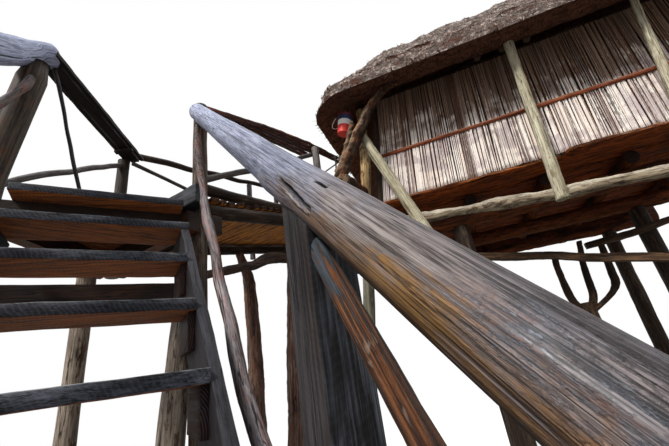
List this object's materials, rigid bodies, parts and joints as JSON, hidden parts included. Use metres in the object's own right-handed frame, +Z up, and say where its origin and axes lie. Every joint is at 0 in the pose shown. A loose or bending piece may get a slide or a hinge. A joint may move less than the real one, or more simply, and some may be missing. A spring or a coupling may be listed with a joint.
{
  "type": "thatched tree house",
  "caption": "Reed-walled thatched cabin on timber posts, reached by an open log stair, a wedge landing and a sloping lath gangway.",
  "frame": {"origin": "foot of the round corner post where stair, landing and gangway meet, at ground level", "axes": "+X along the cabin's front wall to its right, +Y into the cabin, +Z up"},
  "size_m": [5.7366, 7.818, 6.6028],
  "materials": {
    "stringer_wood": "dark weathered sawn wood",
    "cleat_wood": "brown sawn wood",
    "tread_wood": "dark rough-sawn wood",
    "newel_wood": "near-black rough-sawn wood",
    "rail_log": "silver-grey weathered log with brown patches",
    "brace_wood": "glossy red-brown pole",
    "branch_wood": "bare grey-brown branch",
    "post_wood": "weathered round post",
    "beam_wood": "dark brown timber",
    "deck_wood": "dark sawn boards",
    "side_rail_wood": "dark weathered wood",
    "stick_wood": "light grey weathered sticks",
    "brace_beam_wood": "dark squared timber and trunk",
    "pail_paint": "painted pail with dark rim and red foot, on a wire",
    "edge_log": "dark round log",
    "lath_wood": "amber laths",
    "red_lath": "red-brown lath",
    "slab_wood": "red-brown waney slabs",
    "pale_wood": "pale gnarled log",
    "strut_wood": "pale greenish-grey pole",
    "frame_wood": "brown pole",
    "reed": "upright bleached reeds",
    "thatch": "weathered reed thatch"
  },
  "bodies": {
    "root": {"stair_stringers": "stringer_wood", "tread_cleats": "cleat_wood", "stair_treads": "tread_wood", "stair_newels": "newel_wood", "handrail_right": "rail_log", "handrail_left": "rail_log", "stair_braces": "brace_wood", "bent_pole": "branch_wood", "corner_post": "post_wood", "landing_posts": "post_wood", "landing_beams": "beam_wood", "landing_deck": "deck_wood", "landing_rail": "side_rail_wood", "gangway_sill": "deck_wood", "gangway_bearers": "edge_log", "gangway_laths": "lath_wood", "gangway_kerbs": "edge_log", "gangway_near_rail": "red_lath", "gangway_far_rail": "side_rail_wood", "rail_posts": "post_wood", "rail_sticks": "stick_wood", "gangway_props": "branch_wood", "tie_branch": "branch_wood", "forked_branch": "branch_wood", "pail": "pail_paint", "main_posts": "post_wood", "front_posts": "pale_wood", "sway_braces": "brace_beam_wood", "main_beams": "beam_wood", "floor_joists": "beam_wood", "floor_slabs": "slab_wood", "front_beam": "pale_wood", "eave_struts": "strut_wood", "porch_post": "pale_wood", "wall_frame": "frame_wood", "front_wall": "reed", "back_wall": "reed", "right_wall": "reed", "door_front_wall": "reed", "door_back_wall": "reed", "door_head_wall": "reed", "wall_battens": "red_lath", "roof_plates": "frame_wood", "rafters": "frame_wood", "thatch_roof": "thatch"}
  },
  "joints": []
}
